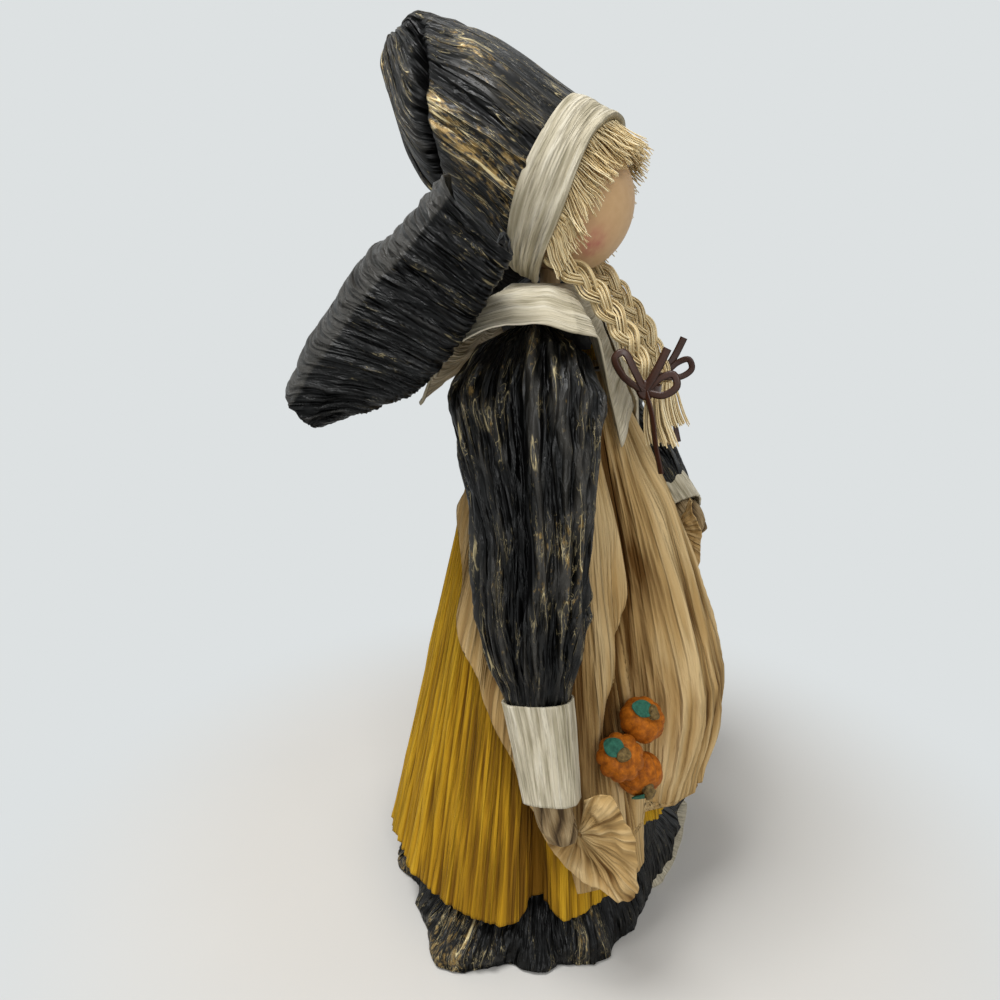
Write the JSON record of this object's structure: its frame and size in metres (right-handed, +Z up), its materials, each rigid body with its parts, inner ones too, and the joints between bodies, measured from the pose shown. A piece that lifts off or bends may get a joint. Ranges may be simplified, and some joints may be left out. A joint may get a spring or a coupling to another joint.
{
  "type": "paper twist figurine",
  "caption": "Standing doll of crinkled paper ribbon over a foam cone: bonnet, braids, collar, back bow, pleated dress and an apron that its wired arms hold up.",
  "frame": {"origin": "middle of the foam cone's flat bottom, on the surface that the figure stands on", "axes": "+Z up, the figure faces -Y and its right hand is on -X"},
  "size_m": [0.1848, 0.1619, 0.3631],
  "materials": {
    "foam": "expanded polystyrene",
    "wood": "plain turned dowel",
    "wire": "soft craft wire",
    "black_paper": "crinkled, with rubbed gold flecks",
    "mustard_paper": "crinkled",
    "kraft_paper": "crinkled",
    "ivory_paper": "streaked",
    "tan_paper": "twisted",
    "orange_paper": "matt",
    "green_paper": "matt",
    "skin": "smooth, with a blush",
    "raffia": "natural raffia strands",
    "brown_ribbon": "satin"
  },
  "bodies": {
    "figure": {"foam_cone": "foam", "neck_dowel": "wood", "torso": "black_paper", "shoulder_wire": "wire", "petticoat": "kraft_paper", "dress": "mustard_paper", "hem_band": "black_paper", "apron": "kraft_paper", "neck_wire": "wire", "collar": "ivory_paper", "bow_knot": "black_paper", "bow_loop_right": "black_paper", "bow_loop_left": "black_paper", "pumpkin_top": "orange_paper", "pumpkin_middle": "orange_paper", "pumpkin_low": "orange_paper", "pumpkin_stem_top": "brown_ribbon", "pumpkin_stem_middle": "brown_ribbon", "pumpkin_stem_low": "brown_ribbon", "pumpkin_leaf_top": "green_paper", "pumpkin_leaf_middle": "green_paper", "pumpkin_leaf_low": "green_paper"},
    "head": {"head_ball": "skin", "bonnet_crown": "black_paper", "bonnet_band": "ivory_paper", "hair_fringe": "raffia"},
    "right_braid": {"braid_right": "raffia", "braid_tassel_right": "raffia", "braid_bow_right": "brown_ribbon"},
    "left_braid": {"braid_left": "raffia", "braid_tassel_left": "raffia", "braid_bow_left": "brown_ribbon"},
    "right_arm": {"sleeve_right": "black_paper", "arm_wire_right": "wire", "cuff_right": "ivory_paper", "hand_right": "tan_paper", "apron_corner_right": "kraft_paper"},
    "left_arm": {"sleeve_left": "black_paper", "arm_wire_left": "wire", "cuff_left": "ivory_paper", "hand_left": "tan_paper", "apron_corner_left": "kraft_paper"}
  },
  "joints": [
    {"name": "head_turn", "type": "hinge", "parent": "figure", "child": "head", "pos_m": [0, 0, 0.2643], "axis": [0, 0, 1], "range_deg": [-5, 5]},
    {"name": "right_braid_swing", "type": "hinge", "parent": "head", "child": "right_braid", "pos_m": [-0.0234, -0.006, 0.2751], "axis": [-1, 0, 0], "range_deg": [0, 20]},
    {"name": "left_braid_swing", "type": "hinge", "parent": "head", "child": "left_braid", "pos_m": [0.0234, -0.006, 0.2751], "axis": [-1, 0, 0], "range_deg": [0, 20]},
    {"name": "right_shoulder", "type": "hinge", "parent": "figure", "child": "right_arm", "pos_m": [-0.037, -0.003, 0.25], "axis": [0, 1, 0], "range_deg": [0, 12]},
    {"name": "left_shoulder", "type": "hinge", "parent": "figure", "child": "left_arm", "pos_m": [0.037, -0.003, 0.25], "axis": [0, -1, 0], "range_deg": [0, 8]}
  ]
}
